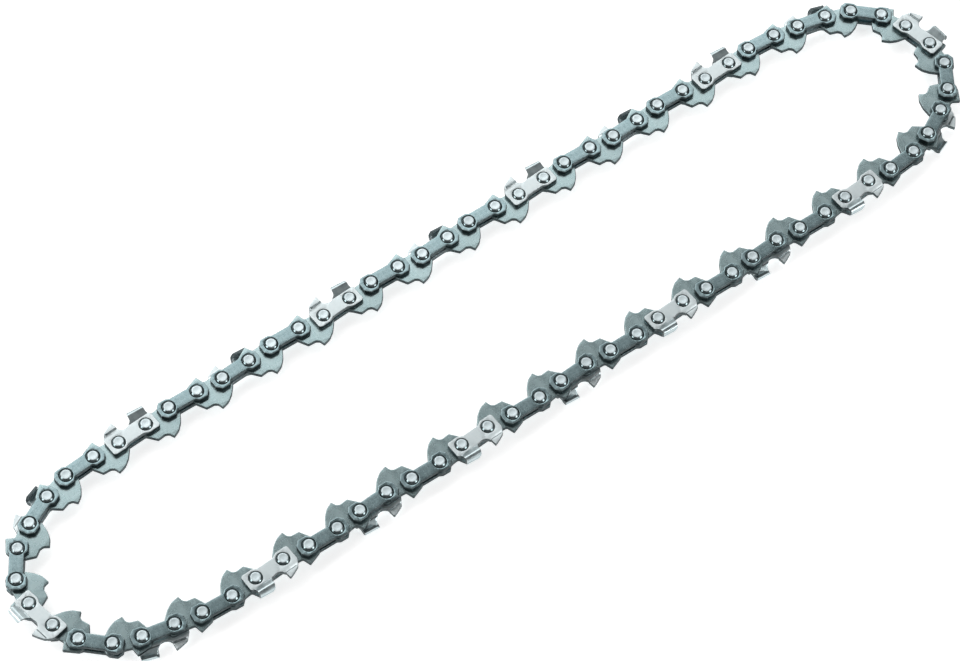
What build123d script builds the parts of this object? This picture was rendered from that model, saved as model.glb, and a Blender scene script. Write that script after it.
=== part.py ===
from build123d import *
import os
from math import cos, pi, radians, sin

# Saw chain, 3/8 inch low profile, lying on its side: a closed loop of drive links and side plates.
# X runs along the loop, Z is up, and the origin is under the middle of the loop.
# Lengths are in millimetres and angles in degrees.

# Chain
drive_links = 40
pitch = 9.32                 # half the distance over three rivets
strap_span = 9.92            # rivet to rivet on a side plate
link_thickness = 1.3         # gauge, which fits the groove of the guide bar
strap_thickness = 1.4
side_play = 0.05             # between a drive link and each side plate
kerf = 6.6                   # width over the corners of the cutters
cutter_cycle = 4             # drive links from one left-hand cutter to the next
first_left_cutter = 1        # drive links before the first left-hand cutter

# Rivets
rivet_radius = 2.05
rivet_sides = 6
head_height = 0.6            # how far a rivet stands out of the side plates
rivet_fit = 0.04             # between a rivet and its hole in a side plate
pivot_play = 0.06            # between a rivet and its hole in a drive link

# Shape of the loop as it lies
end_turn_rivets = 17         # rivets over which each end of the loop turns
end_middle_rivets = 19.9     # rivets from the middle of a strand to the middle of an end
slack_tilt = 5.2             # how far slack lets the links lie askew
slack_waves = 10             # waves of that slack in half of the loop
slack_start_rivets = 3.75    # rivets to the first crest of a wave

# Drive link, with the tang on the inside of the loop
link_end = 3.2               # from a rivet to the end of the link
link_corner = 2.0            # from a rivet to the corners of that end, along the link
link_top = 3.1
link_bottom = 3.0
heel_depth = 5.9
tang_depth = 8.2
tang_tip = 0.1               # tip of the tang ahead of the middle
hook_width = 1.6             # hollow between the heel and the tip
hook_neck = 0.5              # from the tip back to the bend of the hollow
hook_drop = 0.7              # of that bend below the heel
tang_front = 2.5             # from the tip to the first bend of the tang's round edge
tang_front_rise = 0.9
tang_back = 4.5              # from the tip to its second bend
tang_back_rise = 2.55
notch_floor = 2.5
notch_half = 0.9
ramp_height = 5.05
ramp_peak = 2.0              # peak of the ramp ahead of the middle

# Tie strap
strap_end = 3.4              # from a rivet to the end of the strap
strap_corner = 2.0           # from a rivet to the corners of that end, along the strap
strap_top = 3.0
strap_bottom = 3.1
end_flat = 1.5               # half of the straight part of an end
waist_start = 1.8            # from a rivet to the waist
waist_bottom = 2.05

# Cutter
cutter_end = 3.45
cutter_bottom = 2.95
cutter_waist = 2.05          # depth of the inner edge between the rivets
cutter_shoulder = 2.6
gullet_front = 2.0           # from the leading rivet to the gullet
gullet_back = 3.75           # from the trailing rivet to the gullet
gullet_lip = 2.9             # height of the plate behind the gullet
gullet_floor = 2.6
gullet_bend = 2.8            # from the leading rivet to the bend at the front of the floor
gullet_bend_height = 3.3
gullet_middle = 4.4          # from the leading rivet to the lowest point
gauge_back = 2.9             # from the leading rivet to the back of the depth gauge
gauge_fold = 4.2             # height of the fold across the gauge
gauge_lap = 0.8              # height of the fold itself
gauge_height = 6.45
gauge_middle = 5.65          # height of the gauge over the leading rivet
gauge_set = 0.5              # how far the gauge is set over at its fold
tooth_root = 2.75
tooth_height = 6.5
tooth_front = 3.1            # from the trailing rivet to the cutting corner
tooth_back = 2.6             # from the trailing rivet to the back of the tooth
tooth_slope = 0.12           # fall of the tooth towards its back, per length
top_plate_thickness = 1.0
top_plate_flank = 0.9        # height of the outer flank of the tooth's top
cutting_angle = 18           # of the edge across the top plate

link_span = 2 * pitch - strap_span
plate_inner = link_thickness / 2 + side_play
plate_outer = plate_inner + strap_thickness
rivet_half = plate_outer + head_height
mid_height = kerf / 2
rivet_flat = rivet_radius * cos(pi / rivet_sides)
strap_hole = (rivet_flat + rivet_fit) / cos(pi / rivet_sides)
link_hole = (rivet_radius + pivot_play) / cos(pi / rivet_sides)


# Rivet
with BuildPart() as rivet:
    with BuildSketch():
        RegularPolygon(rivet_radius, rivet_sides)
    extrude(amount=rivet_half, both=True)

# Drive link, its leading rivet on the left
link_lead = -link_span / 2
link_trail = link_span / 2
with BuildPart() as drive_link:
    with BuildSketch():
        with BuildLine():
            Polyline(
                (link_trail + link_corner, -link_bottom),
                (link_trail + link_end, 0),
                (link_trail + link_corner, link_top),
                (notch_half, notch_floor),
                (-notch_half, notch_floor),
                (-ramp_peak, ramp_height),
                (link_lead - link_corner, link_top),
                (link_lead - link_end, 0),
                (link_lead - link_corner, -link_bottom),
                (link_lead, -heel_depth),
                (-tang_tip - hook_width, -heel_depth),
                (-tang_tip - hook_neck, -heel_depth - hook_drop),
                (-tang_tip, -tang_depth),
                (tang_front - tang_tip, tang_front_rise - tang_depth),
                (tang_back - tang_tip, tang_back_rise - tang_depth),
                close=True,
            )
        make_face()
        with Locations((link_lead, 0), (link_trail, 0)):
            RegularPolygon(link_hole, rivet_sides, mode=Mode.SUBTRACT)
    extrude(amount=link_thickness / 2, both=True)

# Tie strap, one on each side of the drive links
lead = -strap_span / 2
trail = strap_span / 2
with BuildPart() as left_strap:
    with BuildSketch(Plane.XY.offset(plate_inner)):
        with BuildLine():
            Polyline(
                (trail + strap_corner, -strap_bottom),
                (trail + strap_end, -end_flat),
                (trail + strap_end, end_flat),
                (trail + strap_corner, strap_top),
                (lead - strap_corner, strap_top),
                (lead - strap_end, end_flat),
                (lead - strap_end, -end_flat),
                (lead - strap_corner, -strap_bottom),
                (lead + waist_start, -waist_bottom),
                (trail - waist_start, -waist_bottom),
                close=True,
            )
        make_face()
        with Locations((lead, 0), (trail, 0)):
            RegularPolygon(strap_hole, rivet_sides, mode=Mode.SUBTRACT)
    extrude(amount=strap_thickness)

# Tooth of the left-hand cutter: a side plate that leans out and a top plate with a slanting edge
edge_angle = radians(cutting_angle)
cutting_face = Plane(
    origin=(trail - tooth_front, 0, kerf / 2),
    x_dir=(0, 1, 0),
    z_dir=(cos(edge_angle), 0, sin(edge_angle)),
)
top_plate_under = tooth_height - top_plate_thickness
with BuildPart() as tooth:
    with BuildSketch(Plane.YZ.offset(trail - tooth_front)):
        with BuildLine():
            Polyline(
                (tooth_root, plate_inner),
                (tooth_root, plate_outer),
                (tooth_height - top_plate_flank, kerf / 2),
                (tooth_height, kerf / 2),
                (tooth_height, plate_inner),
                (top_plate_under, plate_inner),
                (top_plate_under, kerf / 2 - strap_thickness),
                close=True,
            )
        make_face()
    extrude(amount=tooth_front + tooth_back, dir=(1, -tooth_slope, 0))
    split(bisect_by=cutting_face, keep=Keep.TOP)

# Left-hand cutter: plate with its gullet, depth gauge set over at the fold, and tooth
with BuildPart() as left_cutter:
    with BuildSketch(Plane.XY.offset(plate_inner)):
        with BuildLine():
            Polyline(
                (trail + cutter_end, -cutter_bottom),
                (trail + cutter_end, cutter_shoulder),
                (trail - gullet_back, gullet_lip),
                (lead + gullet_middle, gullet_floor),
                (lead + gullet_bend, gullet_bend_height),
                (lead + gullet_front, gauge_fold + gauge_lap),
                (lead - gauge_back, gauge_fold),
                (lead - cutter_end, cutter_shoulder),
                (lead - cutter_end, -cutter_bottom),
                (lead + waist_start, -cutter_waist),
                (trail - waist_start, -cutter_waist),
                close=True,
            )
        make_face()
        with Locations((lead, 0), (trail, 0)):
            RegularPolygon(strap_hole, rivet_sides, mode=Mode.SUBTRACT)
    extrude(amount=strap_thickness)
    with BuildSketch(Plane.XY.offset(plate_inner + gauge_set)):
        with BuildLine():
            Polyline(
                (lead - gauge_back, gauge_fold),
                (lead + gullet_front, gauge_fold),
                (lead + gullet_front, gauge_height),
                (lead, gauge_middle),
                close=True,
            )
        make_face()
    extrude(amount=strap_thickness)
    add(tooth.part)

# Plates of the right-hand side, which are the left-hand ones mirrored
with BuildPart() as right_strap:
    mirror(left_strap.part, about=Plane.XY)
with BuildPart() as right_cutter:
    mirror(left_cutter.part, about=Plane.XY)


def end_share(number):
    """Share of its end's turn that a rivet takes: a smooth hump over the rivets of that end."""
    half_loop = drive_links
    from_middle = (number - end_middle_rivets + half_loop / 2) % half_loop - half_loop / 2
    return 1 + cos(pi * min(1, abs(from_middle) * 2 / end_turn_rivets))


# Links and side plates lie nose to tail, clockwise from the middle of the far strand.
# Both halves of the loop have the same shape, half a turn apart, so the loop closes at any size.
whole_share = sum(end_share(number) for number in range(drive_links))
rivets = []
headings = []
heading = 0
position = Vector(0, 0)
for number in range(2 * drive_links):
    heading -= 180 * end_share(number) / whole_share
    wave = 2 * pi * slack_waves * (number - slack_start_rivets) / drive_links
    rivets.append(position)
    headings.append(heading + slack_tilt * cos(wave))
    span = strap_span if number % 2 else link_span
    position = position + Vector(span, 0).rotate(Axis.Z, headings[-1])
middle = (rivets[0] + rivets[drive_links]) / 2


def place(number):
    """Where a link or a pair of side plates lies: halfway between its two rivets."""
    ends = rivets[number] + rivets[(number + 1) % len(rivets)]
    spot = ends / 2 - middle
    return Location((spot.X, spot.Y, mid_height), (0, 0, headings[number]))


# Each unit is a drive link and the side plates behind it, with the two rivets of those plates.
# Every second pair of plates has a cutter, on the left and on the right by turns.
os.makedirs("parts", exist_ok=True)
cutters = 0
for unit in range(drive_links):
    plates = place(2 * unit + 1)
    since_left_cutter = (unit - first_left_cutter) % cutter_cycle
    has_left_cutter = since_left_cutter == 0
    has_right_cutter = since_left_cutter == cutter_cycle // 2
    with BuildPart() as link:
        with Locations(place(2 * unit)):
            add(drive_link.part)
        with Locations(plates):
            if not has_left_cutter:
                add(left_strap.part)
            if not has_right_cutter:
                add(right_strap.part)
            with Locations((lead, 0), (trail, 0)):
                add(rivet.part)
    link.part.label = f"link_{unit + 1:02d}"
    export_step(link.part, f"parts/{link.part.label}.step")
    if has_left_cutter or has_right_cutter:
        cutters += 1
        with BuildPart() as cutter:
            with Locations(plates):
                add(left_cutter.part if has_left_cutter else right_cutter.part)
        side = "left" if has_left_cutter else "right"
        cutter.part.label = f"{side}_cutter_{(cutters + 1) // 2:02d}"
        export_step(cutter.part, f"parts/{cutter.part.label}.step")
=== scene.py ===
from math import atan2, ceil, cos, pi, radians, sin, tan

import bmesh
import bpy
from mathutils import Matrix, Vector


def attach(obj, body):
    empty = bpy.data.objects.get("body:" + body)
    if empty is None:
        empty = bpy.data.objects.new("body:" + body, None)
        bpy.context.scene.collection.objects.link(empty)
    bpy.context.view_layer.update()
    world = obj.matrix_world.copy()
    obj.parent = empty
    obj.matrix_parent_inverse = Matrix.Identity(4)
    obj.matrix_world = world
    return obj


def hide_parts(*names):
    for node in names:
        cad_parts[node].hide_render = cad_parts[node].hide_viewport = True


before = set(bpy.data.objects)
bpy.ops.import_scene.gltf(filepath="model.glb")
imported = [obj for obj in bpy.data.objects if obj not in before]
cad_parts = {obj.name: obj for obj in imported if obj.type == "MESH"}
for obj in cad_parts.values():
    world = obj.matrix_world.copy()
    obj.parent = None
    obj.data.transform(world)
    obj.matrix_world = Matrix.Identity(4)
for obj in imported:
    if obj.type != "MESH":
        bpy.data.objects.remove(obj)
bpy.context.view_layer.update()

# Sizes repeat those of the solids, in millimetres and degrees.
MM = 0.001

# Chain
drive_links = 40
cutter_cycle = 4             # drive links from one left-hand cutter to the next
pitch = 9.32
strap_span = 9.92
link_thickness = 1.3
strap_thickness = 1.4
side_play = 0.05
kerf = 6.6
head_height = 0.6
link_span = 2 * pitch - strap_span
plate_inner = link_thickness / 2 + side_play
plate_outer = plate_inner + strap_thickness
plate_middle = (plate_inner + plate_outer) / 2
rivet_half = plate_outer + head_height
mid_height = kerf / 2
lead = -strap_span / 2
trail = strap_span / 2
link_lead = -link_span / 2
link_trail = link_span / 2

# Loop as it lies
end_turn_rivets = 17
end_middle_rivets = 19.9
slack_tilt = 5.2
slack_waves = 10
slack_start_rivets = 3.75

# Edges
edge_roll = 0.26
tooth_roll = 0.18
arc_step = radians(15)
corner_room = 0.48           # share of a side that the arc of a corner may take
straight_corner = radians(178)
hole_radius = 2.12
hole_sides = 40
rivet_sides = 48
sharp_angle = radians(50)

# Materials of a plate, by index: the second is a dark finish painted as shade on edges, walls and creases, the
# third a chrome painted darker as shade on the cutters' teeth
FACE, PAINTED_SHADE, SHADED_TOOTH = 0, 1, 2


def rounded(corners):
    """Closed outline through corners (x, y, radius), each rounded by an arc of its radius."""
    points = []
    for i, (x, y, radius) in enumerate(corners):
        corner = Vector((x, y))
        to_last = Vector(corners[i - 1][:2]) - corner
        to_next = Vector(corners[(i + 1) % len(corners)][:2]) - corner
        room = corner_room * min(to_last.length, to_next.length)
        to_last.normalize()
        to_next.normalize()
        opening = to_last.angle(to_next)
        if radius == 0 or opening > straight_corner:
            points.append(corner)
            continue
        reach = min(radius / tan(opening / 2), room)
        radius = reach * tan(opening / 2)
        centre = corner + (to_last + to_next).normalized() * radius / sin(opening / 2)
        spoke = corner + to_last * reach - centre
        start = atan2(spoke.y, spoke.x)
        turn = pi - opening
        if to_last.cross(to_next) > 0:
            turn = -turn
        steps = max(2, ceil(abs(turn) / arc_step))
        for step in range(steps + 1):
            angle = start + turn * step / steps
            points.append(centre + radius * Vector((cos(angle), sin(angle))))
    return points


def arc(x, y, radius, start, end, steps):
    """Corners along an arc, to go into an outline."""
    angles = [radians(start + (end - start) * step / steps) for step in range(steps + 1)]
    return [(x + radius * cos(angle), y + radius * sin(angle), 0) for angle in angles]


def inset(loop, depth):
    """The loop moved to its left by a depth, which is into the plate."""
    moved = []
    for i, here in enumerate(loop):
        before = (here - loop[i - 1]).normalized()
        after = (loop[(i + 1) % len(loop)] - here).normalized()
        left = Vector((-before.y, before.x))
        left_after = Vector((-after.y, after.x))
        moved.append(here + (left + left_after) * depth / max(0.5, 1 + left.dot(left_after)))
    return moved


def plate(outline, low, high, holes=(), roll=edge_roll):
    """Punched plate with rolled edges: FACE on its faces and their rims, a dark finish painted as shade on the
    edges outside them.
    """
    bm = bmesh.new()
    edge = bm.verts.layers.float.new("edge")
    loops = [outline]
    for x, y in holes:
        turns = [-2 * pi * side / hole_sides for side in range(hole_sides)]
        loops.append([Vector((x + hole_radius * cos(a), y + hole_radius * sin(a))) for a in turns])
    angles = [0, radians(30), radians(60), radians(90)]
    wear = [0.35, 1.0, 0.15, 0.1]
    rings = [(roll * (1 - sin(a)), high - roll * (1 - cos(a)), w) for a, w in zip(angles, wear)]
    rings += [(depth, low + high - z, w) for depth, z, w in reversed(rings)]
    caps = ([], [])
    for loop in loops:
        rows = []
        for depth, z, worn in rings:
            row = [bm.verts.new((p.x, p.y, z)) for p in inset(loop, depth)]
            for vert in row:
                vert[edge] = worn
            rows.append(row)
        for k in range(len(rows) - 1):
            for i in range(len(loop)):
                j = (i + 1) % len(loop)
                face = bm.faces.new((rows[k][i], rows[k + 1][i], rows[k + 1][j], rows[k][j]))
                face.material_index = PAINTED_SHADE if 0 < k < len(rows) - 2 else FACE
        for cap, row in zip(caps, (rows[0], rows[-1])):
            cap += [bm.edges.get((row[i], row[i - 1])) for i in range(len(row))]
    for cap in caps:
        bmesh.ops.triangle_fill(bm, use_beauty=True, edges=cap)
    return bm


def turned(profile, sides, bands):
    """Body turned from (radius, height) points. bands gives the material of each strip between them."""
    bm = bmesh.new()
    rows = []
    for radius, z in profile:
        if radius == 0:
            rows.append([bm.verts.new((0, 0, z))])
            continue
        turns = [2 * pi * side / sides for side in range(sides)]
        rows.append([bm.verts.new((radius * cos(a), radius * sin(a), z)) for a in turns])
    for upper, lower, band in zip(rows, rows[1:], bands):
        for i in range(sides):
            j = (i + 1) % sides
            if len(upper) == 1:
                corners = (upper[0], lower[i], lower[j])
            elif len(lower) == 1:
                corners = (upper[i], lower[0], upper[j])
            else:
                corners = (upper[i], lower[i], lower[j], upper[j])
            bm.faces.new(corners).material_index = band
    return bm


def to_mesh(bm, name, materials, flipped=False):
    """Mesh in metres with smooth edges and flat faces, mirrored to the lower side where asked."""
    for vert in bm.verts:
        vert.co = Vector((vert.co.x, vert.co.y, -vert.co.z if flipped else vert.co.z)) * MM
    bmesh.ops.recalc_face_normals(bm, faces=bm.faces)
    for face in bm.faces:
        face.smooth = True
    rough = bpy.data.meshes.new(name + "_rough")
    bm.to_mesh(rough)
    bm.free()
    rough.set_sharp_from_angle(angle=sharp_angle)
    for material in materials:
        rough.materials.append(material)
    holder = bpy.data.objects.new(name + "_holder", rough)
    bpy.context.scene.collection.objects.link(holder)
    weights = holder.modifiers.new("weights", "WEIGHTED_NORMAL")
    weights.keep_sharp = True
    weights.weight = 90
    depsgraph = bpy.context.evaluated_depsgraph_get()
    mesh = bpy.data.meshes.new_from_object(holder.evaluated_get(depsgraph), depsgraph=depsgraph)
    mesh.name = name
    bpy.data.objects.remove(holder)
    bpy.data.meshes.remove(rough)
    return mesh


# Finish of all the metal
wear_grain = 900
darkest_piece = 0.88         # tone of the darkest piece beside the lightest
gloss_less = 0.05
gloss_more = 0.07
mark_depth = 0.00004         # metres
ring_scale = 1100
ring_wobble = 1.5


def finish(name, light, dark, worn, roughness, grain, scratch, relief, rings=False):
    """Metal with mottled colour, brighter worn edges, uneven gloss and fine tooling marks."""
    material = bpy.data.materials.new(name)
    material.use_nodes = True
    nodes = material.node_tree.nodes
    links = material.node_tree.links
    shader = nodes["Principled BSDF"]
    shader.inputs["Metallic"].default_value = 1.0
    place = nodes.new("ShaderNodeTexCoord").outputs["Object"]

    def noise(scale, detail, stretch=None):
        source = place
        if stretch:
            mapping = nodes.new("ShaderNodeMapping")
            mapping.inputs["Scale"].default_value = stretch
            links.new(place, mapping.inputs["Vector"])
            source = mapping.outputs["Vector"]
        texture = nodes.new("ShaderNodeTexNoise")
        texture.inputs["Scale"].default_value = scale
        texture.inputs["Detail"].default_value = detail
        links.new(source, texture.inputs["Vector"])
        return texture.outputs["Fac"]

    def spread(value, low, high, to_low, to_high):
        node = nodes.new("ShaderNodeMapRange")
        for socket, number in zip(node.inputs[1:5], (low, high, to_low, to_high)):
            socket.default_value = number
        links.new(value, node.inputs[0])
        return node.outputs[0]

    def product(a, b):
        node = nodes.new("ShaderNodeMath")
        node.operation = "MULTIPLY"
        links.new(a, node.inputs[0])
        links.new(b, node.inputs[1])
        return node.outputs[0]

    def mix(share, a, b, kind="MIX"):
        node = nodes.new("ShaderNodeMix")
        node.data_type = "RGBA"
        node.blend_type = kind
        if share is None:
            node.inputs[0].default_value = 1.0
        else:
            links.new(share, node.inputs[0])
        for socket, colour in zip((node.inputs[6], node.inputs[7]), (a, b)):
            if isinstance(colour, tuple):
                socket.default_value = (*colour, 1)
            else:
                links.new(colour, socket)
        return node.outputs[2]

    mottle = noise(grain, 6)
    marks = noise(1.0, 4, scratch)
    edge = nodes.new("ShaderNodeAttribute")
    edge.attribute_name = "edge"
    rubbed = product(edge.outputs["Fac"], spread(noise(wear_grain, 3), 0.35, 0.6, 0.25, 1.0))
    colour = mix(spread(mottle, 0.3, 0.7, 0.0, 1.0), dark, light)
    colour = mix(rubbed, colour, worn)
    piece = nodes.new("ShaderNodeObjectInfo").outputs["Random"]
    tone = nodes.new("ShaderNodeCombineColor")
    for socket in tone.inputs:
        links.new(spread(piece, 0.0, 1.0, darkest_piece, 1.0), socket)
    colour = mix(None, colour, tone.outputs[0], "MULTIPLY")
    links.new(colour, shader.inputs["Base Color"])
    uneven = spread(mottle, 0.25, 0.75, roughness - gloss_less, roughness + gloss_more)
    links.new(uneven, shader.inputs["Roughness"])
    height = marks
    if rings:
        wave = nodes.new("ShaderNodeTexWave")
        wave.wave_type = "RINGS"
        wave.rings_direction = "Z"
        wave.inputs["Scale"].default_value = ring_scale
        wave.inputs["Distortion"].default_value = ring_wobble
        links.new(place, wave.inputs["Vector"])
        height = product(marks, wave.outputs["Fac"])
    bump = nodes.new("ShaderNodeBump")
    bump.inputs["Strength"].default_value = relief
    bump.inputs["Distance"].default_value = mark_depth
    links.new(height, bump.inputs["Height"])
    links.new(bump.outputs["Normal"], shader.inputs["Normal"])
    return material


# Tooling marks, as scales of their noise along each axis
along = (300, 5200, 300)
upright = (2600, 2600, 240)
plain = (1500, 1500, 1500)

# Finishes
strap_steel = finish(
    "blued_steel", light=(0.28, 0.395, 0.42), dark=(0.225, 0.325, 0.345), worn=(0.46, 0.58, 0.60),
    roughness=0.26, grain=200, scratch=along, relief=0.2,
)
link_steel = finish(
    "polished_steel", light=(0.385, 0.515, 0.53), dark=(0.325, 0.445, 0.46), worn=(0.5, 0.61, 0.62),
    roughness=0.25, grain=180, scratch=along, relief=0.2,
)
# Painted shade: a near-black steel standing in for the shade and dark reflections on the plates' outer rolls and
# walls
shade_painted_steel = finish(
    "shade_painted_steel", light=(0.06, 0.085, 0.09), dark=(0.015, 0.025, 0.028), worn=(0.2, 0.25, 0.26),
    roughness=0.42, grain=700, scratch=upright, relief=0.6,
)
head_face = finish(
    "peened_face", light=(0.82, 0.92, 0.945), dark=(0.72, 0.82, 0.85), worn=(0.88, 0.95, 0.96),
    roughness=0.52, grain=900, scratch=plain, relief=0.3, rings=True,
)
head_flank = finish(
    "peened_flank", light=(0.20, 0.25, 0.26), dark=(0.08, 0.11, 0.115), worn=(0.4, 0.46, 0.47),
    roughness=0.2, grain=800, scratch=plain, relief=0.3,
)
chrome = finish(
    "hard_chrome", light=(0.82, 0.90, 0.915), dark=(0.70, 0.79, 0.81), worn=(0.84, 0.91, 0.92),
    roughness=0.46, grain=260, scratch=along, relief=0.22,
)
# Painted shade: the cutter's chrome made darker on the tooth, standing in for the shade on its leaning faces
shaded_tooth_chrome = finish(
    "shaded_tooth_chrome", light=(0.50, 0.60, 0.62), dark=(0.40, 0.49, 0.51), worn=(0.8, 0.88, 0.89),
    roughness=0.3, grain=260, scratch=along, relief=0.22,
)
# Painted shade: a near-black chrome standing in for the shade on the cutters' outer rolls and walls, in the gauge's
# fold and in the tooth's root bend
shade_painted_chrome = finish(
    "shade_painted_chrome", light=(0.12, 0.15, 0.155), dark=(0.035, 0.05, 0.055), worn=(0.4, 0.45, 0.46),
    roughness=0.36, grain=700, scratch=upright, relief=0.5,
)

# Drive link, its leading rivet on the left and its tang below
link_end = 3.2
link_corner = 2.0
link_top = 3.1
link_bottom = 3.0
heel_depth = 5.9
tang_depth = 8.2
notch_floor = 2.5
notch_half = 0.9
link_outline = rounded([
    (link_lead - link_corner, -link_bottom, 1.4),
    (link_lead, -heel_depth, 0.5),
    (-1.75, -heel_depth, 0.5),
    (-0.75, -6.5, 0.9),
    (-0.1, -tang_depth, 0.22),
    (2.4, -7.35, 3.5),
    (4.45, -5.6, 3.5),
    (link_trail + link_corner, -link_bottom, 2.0),
    (link_trail + link_end, 0, 2.6),
    (link_trail + link_corner, link_top, 1.4),
    (notch_half, notch_floor, 1.2),
    (-notch_half, notch_floor, 0.6),
    (-2.0, 5.05, 0.35),
    (link_lead - link_corner, link_top, 1.2),
    (link_lead - link_end, 0, 2.6),
])
link_holes = ((link_lead, 0), (link_trail, 0))
link_body = plate(link_outline, -link_thickness / 2, link_thickness / 2, link_holes)
link_mesh = to_mesh(link_body, "drive_link", (link_steel, shade_painted_steel))

# Tie strap, with a waist on both edges
strap_end = 3.4
strap_corner = 2.0
strap_top = 3.0
strap_bottom = 3.1
end_flat = 1.5
outer_waist = 2.4
inner_waist = 2.05
strap_outline = rounded([
    (trail + strap_corner, -strap_bottom, 0.4),
    (trail + strap_end, -end_flat, 0.4),
    (trail + strap_end, end_flat, 0.4),
    (trail + strap_corner, strap_top, 0.4),
    (trail - 0.6, strap_top, 0.5),
    (trail - 1.7, outer_waist, 0.6),
    (lead + 1.7, outer_waist, 0.6),
    (lead + 0.6, strap_top, 0.5),
    (lead - strap_corner, strap_top, 0.4),
    (lead - strap_end, end_flat, 0.4),
    (lead - strap_end, -end_flat, 0.4),
    (lead - strap_corner, -strap_bottom, 0.4),
    (lead + 0.8, -strap_bottom, 0.4),
    (lead + 1.8, -inner_waist, 0.5),
    (trail - 1.8, -inner_waist, 0.5),
    (trail - 0.8, -strap_bottom, 0.4),
])
strap_holes = ((lead, 0), (trail, 0))
strap_meshes = {}
for side, flipped in (("upper", False), ("lower", True)):
    strap_body = plate(strap_outline, plate_inner, plate_outer, strap_holes)
    strap_meshes[side] = to_mesh(strap_body, f"strap_{side}", (strap_steel, shade_painted_steel), flipped)

# Rivet with a peened head at each end: a dished face, a steep flank and a foot on the plate
upper_head = [
    (0, rivet_half - 0.10),
    (0.5, rivet_half - 0.09),
    (0.95, rivet_half - 0.04),
    (1.3, rivet_half),
    (1.44, rivet_half - 0.015),
    (1.53, rivet_half - 0.07),
    (1.80, rivet_half - 0.36),
    (2.0, rivet_half - 0.55),
    (2.06, rivet_half - 0.66),
    (2.06, plate_outer - 0.25),
    (1.98, plate_outer - 0.32),
]
rivet_profile = upper_head + [(radius, -z) for radius, z in reversed(upper_head)]
head_bands = [0, 0, 0, 0, 0, 1, 1, 1, 1, 1]
rivet_body = turned(rivet_profile, rivet_sides, head_bands + [1] + head_bands[::-1])
rivet_mesh = to_mesh(rivet_body, "rivet", (head_face, head_flank))

# Cutter, drawn flat and then bent: the gauge is set over and the tooth leans out and turns in over the top
cutter_end = 3.45
cutter_bottom = 2.95
cutter_waist = 2.08
gullet_x = -0.54
gullet_y = 4.9
gullet_radius = 2.3
tooth_root = 2.68
tooth_lean = radians(32)
root_bend = 0.9
lean_length = 1.95
top_bend = 0.75
top_length = 1.22
top_height = 6.48
top_thinning = 0.25          # share of its thickness that the tooth loses up to its top
tooth_slope = 0.12
side_relief = 0.04
cutting_corner = trail - 3.1
cutting_slant = 0.55
tooth_end = trail + 2.6
grind_width = 1.2
grind_depth = 0.45
grind_start = 0.6            # from the root to the ground edge, along the tooth
gauge_set = 0.5
fold_low = 3.95
fold_high = 4.4
fold_start = lead - 1.9
lean_start = root_bend * tooth_lean
lean_stop = lean_start + lean_length
bend_stop = lean_stop + top_bend * (tooth_lean + pi / 2)
tooth_top = tooth_root + bend_stop + top_length
corner_at = tooth_root + lean_stop + top_bend * tooth_lean


def smooth(share):
    """Ease from 0 to 1."""
    share = min(1, max(0, share))
    return share * share * (3 - 2 * share)


def tooth_line(run):
    """Height, set and direction of the bent tooth's middle, a run along it from the root."""
    heading = min(run / root_bend, tooth_lean)
    height = tooth_root + root_bend * sin(heading)
    out = root_bend * (1 - cos(heading))
    if run > lean_start:
        straight = min(run, lean_stop) - lean_start
        height += straight * cos(tooth_lean)
        out += straight * sin(tooth_lean)
    if run > lean_stop:
        heading = tooth_lean - (min(run, bend_stop) - lean_stop) / top_bend
        height += top_bend * (sin(tooth_lean) - sin(heading))
        out += top_bend * (cos(heading) - cos(tooth_lean))
    if run > bend_stop:
        out -= run - bend_stop
    return height, out, heading


def bend(point):
    """Where a point of the flat cutter comes to lie."""
    x, y, z = point
    if x < gullet_x:
        return Vector((x, y, z + gauge_set * smooth((y - fold_low) / (fold_high - fold_low))))
    if y <= tooth_root:
        return point
    run = y - tooth_root
    height, out, heading = tooth_line(run)
    off = (z - plate_middle) * (1 - top_thinning * min(1, run / bend_stop))
    front = cutting_corner + cutting_slant * max(0, y - corner_at)
    ground = max(0, 1 - (x - front) / grind_width) * smooth((run - grind_start) / grind_width)
    x += grind_depth * ground * (0.5 - (z - plate_middle) / strap_thickness)
    height -= off * sin(heading)
    out += off * cos(heading)
    share = min(1, max(0, (height - tooth_root) / (top_height - tooth_root)))
    behind = max(0, x - cutting_corner)
    out -= side_relief * behind * share * cos(heading)
    return Vector((x, height - tooth_slope * behind * share, plate_middle + out))


cutter_outline = rounded([
    (lead - cutter_end, -cutter_bottom, 0.9),
    (lead + 0.7, -cutter_bottom, 1.4),
    (lead + 2.3, -cutter_waist, 2.2),
    (trail - 2.3, -cutter_waist, 2.2),
    (trail - 0.7, -cutter_bottom, 1.4),
    (trail + cutter_end, -cutter_bottom, 0.9),
    (trail + cutter_end, 2.45, 0.5),
    (trail + 2.7, 3.0, 0.6),
    (trail + 2.45, 4.2, 2.0),
    (trail + 2.45, 5.6, 2.0),
    (tooth_end, tooth_top, 0.2),
    (cutting_corner + cutting_slant * (tooth_top - corner_at), tooth_top, 0.12),
    (cutting_corner, corner_at, 0),
    *arc(gullet_x, gullet_y, gullet_radius, -6, -172, 22),
    (lead + 2.0, 6.45, 0.3),
    (lead - 0.05, 5.70, 1.2),
    (lead - 1.95, 4.85, 0.9),
    (lead - 3.1, 3.1, 0.7),
    (lead - cutter_end, 2.5, 0.5),
])
root_cuts = [tooth_root + lean_start * k / 4 for k in range(5)]
top_cuts = [tooth_root + lean_stop + (bend_stop - lean_stop) * k / 10 for k in range(11)]
fold_cuts = [fold_low + (fold_high - fold_low) * k / 5 for k in range(6)]
cutter_meshes = {}
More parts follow.
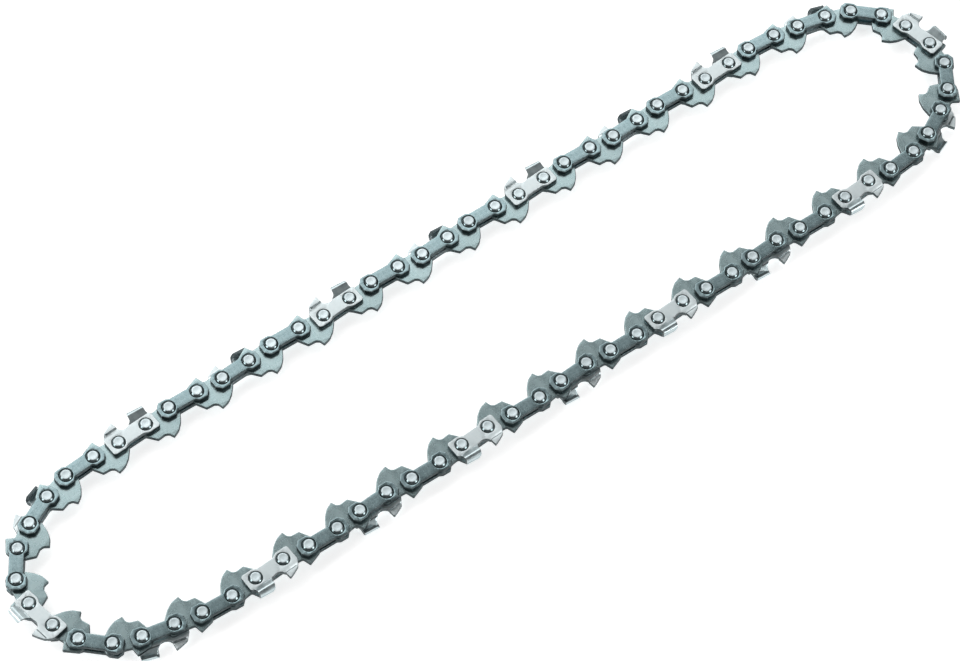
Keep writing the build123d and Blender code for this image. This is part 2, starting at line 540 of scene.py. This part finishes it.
for side, flipped in (("left", False), ("right", True)):
    cutter_body = plate(cutter_outline, plate_inner, plate_outer, strap_holes, tooth_roll)
    for y in root_cuts + top_cuts + fold_cuts:
        parts = cutter_body.verts[:] + cutter_body.edges[:] + cutter_body.faces[:]
        bmesh.ops.bisect_plane(cutter_body, geom=parts, plane_co=(0, y, 0), plane_no=(0, 1, 0), dist=1e-5)
    # Painted shade: the gauge's fold and the lower half of the tooth's root bend take the dark finish as crease
    # shade
    for face in cutter_body.faces:
        spot = face.calc_center_median()
        if spot.x < gullet_x:
            if fold_low < spot.y < fold_high and fold_start < spot.x:
                face.material_index = PAINTED_SHADE
        # Painted shade: the tooth above its root bend takes the chrome painted darker
        elif face.material_index == FACE and spot.y > tooth_root + lean_start:
            face.material_index = SHADED_TOOTH
        elif face.material_index == FACE and spot.y > tooth_root + lean_start / 2:
            face.material_index = PAINTED_SHADE
    for vert in cutter_body.verts:
        vert.co = bend(vert.co)
    cutter_meshes[side] = to_mesh(cutter_body, f"{side}_cutter", (chrome, shade_painted_chrome, shaded_tooth_chrome), flipped)


def end_share(number):
    """Share of its end's turn that a rivet takes: a smooth hump over the rivets of that end."""
    half_loop = drive_links
    from_middle = (number - end_middle_rivets + half_loop / 2) % half_loop - half_loop / 2
    return 1 + cos(pi * min(1, abs(from_middle) * 2 / end_turn_rivets))


# Places round the loop, as in the solids
whole_share = sum(end_share(number) for number in range(drive_links))
rivets = []
headings = []
heading = 0
position = Vector((0, 0))
for number in range(2 * drive_links):
    heading -= 180 * end_share(number) / whole_share
    wave = 2 * pi * slack_waves * (number - slack_start_rivets) / drive_links
    rivets.append(position)
    headings.append(radians(heading + slack_tilt * cos(wave)))
    span = strap_span if number % 2 else link_span
    position = position + span * Vector((cos(headings[-1]), sin(headings[-1])))
middle = (rivets[0] + rivets[drive_links]) / 2


def put(name, mesh, spot, turn, unit, node):
    """A piece at its place on the loop, carried by its unit."""
    piece = bpy.data.objects.new(name, mesh)
    bpy.context.scene.collection.objects.link(piece)
    spot = (spot - middle) * MM
    piece.matrix_world = Matrix.Translation((spot.x, spot.y, mid_height * MM)) @ Matrix.Rotation(turn, 4, "Z")
    bpy.context.view_layer.update()
    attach(piece, unit)
    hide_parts(node)


cutters = {"left": 0, "right": 0}
for k in range(drive_links):
    label = f"{k + 1:02d}"
    unit = "unit_" + label
    link = "link_" + label
    ends = [rivets[(2 * k + step) % len(rivets)] for step in range(3)]
    put("drive_link_" + label, link_mesh, (ends[0] + ends[1]) / 2, headings[2 * k], unit, link)
    plates_at = (ends[1] + ends[2]) / 2
    plates_turn = headings[2 * k + 1]
    for side, hand, place in (("upper", "left", 1), ("lower", "right", 3)):
        if k % cutter_cycle == place:
            cutters[hand] += 1
            node = f"{hand}_cutter_{cutters[hand]:02d}"
            put("plate_" + node, cutter_meshes[hand], plates_at, plates_turn, unit, node)
        else:
            put(f"strap_{side}_{label}", strap_meshes[side], plates_at, plates_turn, unit, link)
    for end, spot in (("front", ends[1]), ("rear", ends[2])):
        put(f"rivet_{end}_{label}", rivet_mesh, spot, plates_turn, unit, link)

# Floor, white to the camera and in the metal, with the chain's shadow on it
half = 6.0
floor_drop = 0.00005
floor_glow = 0.62
floor_mesh = bpy.data.meshes.new("floor")
floor_mesh.from_pydata([(-half, -half, 0), (half, -half, 0), (half, half, 0), (-half, half, 0)], [], [(0, 1, 2, 3)])
floor = bpy.data.objects.new("floor", floor_mesh)
bpy.context.scene.collection.objects.link(floor)
floor.location.z = -floor_drop
paper = bpy.data.materials.new("paper")
paper.use_nodes = True
nodes = paper.node_tree.nodes
links = paper.node_tree.links
nodes.remove(nodes["Principled BSDF"])
matt = nodes.new("ShaderNodeBsdfDiffuse")
matt.inputs["Color"].default_value = (0.9, 0.9, 0.9, 1)
path = nodes.new("ShaderNodeLightPath")
seen = path.outputs["Is Camera Ray"]
for ray in ("Is Glossy Ray", "Is Transmission Ray"):
    either = nodes.new("ShaderNodeMath")
    either.operation = "MAXIMUM"
    links.new(seen, either.inputs[0])
    links.new(path.outputs[ray], either.inputs[1])
    seen = either.outputs[0]
share = nodes.new("ShaderNodeMath")
share.operation = "MULTIPLY"
share.inputs[1].default_value = floor_glow
links.new(seen, share.inputs[0])
glow = nodes.new("ShaderNodeEmission")
links.new(share.outputs[0], glow.inputs["Strength"])
both = nodes.new("ShaderNodeAddShader")
links.new(matt.outputs[0], both.inputs[0])
links.new(glow.outputs[0], both.inputs[1])
links.new(both.outputs[0], nodes["Material Output"].inputs["Surface"])
floor_mesh.materials.append(paper)

# Studio: dim all round, a little less overhead, so that the lamps shape the metal
overhead = 0.9
horizon_strength = 0.32
overhead_strength = 0.22
world = bpy.data.worlds.new("studio")
bpy.context.scene.world = world
world.use_nodes = True
nodes = world.node_tree.nodes
links = world.node_tree.links
where = nodes.new("ShaderNodeTexCoord")
split = nodes.new("ShaderNodeSeparateXYZ")
links.new(where.outputs["Generated"], split.inputs[0])
rise = nodes.new("ShaderNodeMapRange")
for socket, number in zip(rise.inputs[1:5], (0.0, overhead, horizon_strength, overhead_strength)):
    socket.default_value = number
links.new(split.outputs["Z"], rise.inputs[0])
links.new(rise.outputs[0], nodes["Background"].inputs["Strength"])
nodes["Background"].inputs["Color"].default_value = (1, 1, 1, 1)


def softbox(name, place, aim, width, height, power):
    """Area lamp at a place, aimed at a point."""
    lamp = bpy.data.lights.new(name, "AREA")
    lamp.shape = "RECTANGLE"
    lamp.size = width
    lamp.size_y = height
    lamp.energy = power
    holder = bpy.data.objects.new(name, lamp)
    bpy.context.scene.collection.objects.link(holder)
    holder.location = place
    holder.rotation_euler = (Vector(aim) - Vector(place)).to_track_quat("-Z", "Y").to_euler()


# The panel's near edge lies where the far strand still mirrors it and the near strand hardly does.
# The flanks of the rivets mirror the two strips.
softbox("far_panel", (0.2, 0.845, 0.5), (0.2, 0.845, 0), 1.7, 1.2, 10.6)
softbox("left_strip", (-1.09, 0.30, 0.43), (0, 0, 0), 0.45, 0.3, 4.0)
softbox("right_strip", (0.53, -1.0, 0.42), (0, 0, 0), 0.45, 0.3, 4.0)

# Camera at the photograph's place
camera = bpy.data.cameras.new("camera")
camera.lens = 121.6875
camera.sensor_width = 36
camera.sensor_fit = "HORIZONTAL"
camera.clip_start = 0.01
eye = bpy.data.objects.new("camera", camera)
bpy.context.scene.collection.objects.link(eye)
right = (0.80133, -0.59776, 0.02344)
up = (0.50764, 0.70021, 0.50201)
back = (-0.31649, -0.39037, 0.86455)
eye.matrix_world = Matrix((
    (right[0], up[0], back[0], -0.32215),
    (right[1], up[1], back[1], -0.386467),
    (right[2], up[2], back[2], 0.856461),
    (0, 0, 0, 1),
))
bpy.context.scene.camera = eye
bpy.context.scene.view_settings.view_transform = "Standard"
